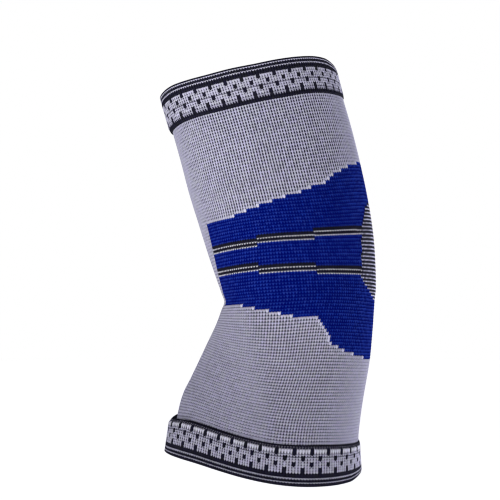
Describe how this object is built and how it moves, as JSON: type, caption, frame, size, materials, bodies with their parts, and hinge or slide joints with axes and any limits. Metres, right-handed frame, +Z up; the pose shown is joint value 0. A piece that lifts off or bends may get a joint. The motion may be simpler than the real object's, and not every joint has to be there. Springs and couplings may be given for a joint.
{
  "type": "elbow compression sleeve",
  "caption": "Seamless knitted elbow sleeve in its worn, slightly bent form: pale rib body, blue panel round the elbow, striped elbow patch and a patterned double cuff at each end.",
  "frame": {"origin": "middle of the elbow, on the axis of the arm inside the sleeve", "axes": "+Z up the upper arm, +X out of the back of the elbow, +Y across the arm; the sleeve is the same on both sides of the XZ plane"},
  "size_m": [0.1228, 0.0902, 0.2296],
  "materials": {
    "grey_knit": "matte elastic knit",
    "blue_knit": "matte elastic knit",
    "striped_knit": "matte knit in alternate black and pale rows",
    "cuff_knit": "matte double knit in black and pale grey"
  },
  "bodies": {
    "root": {"sleeve_body": "grey_knit", "support_panel": "blue_knit", "elbow_patch": "striped_knit", "upper_cuff": "cuff_knit", "lower_cuff": "cuff_knit"}
  },
  "joints": []
}
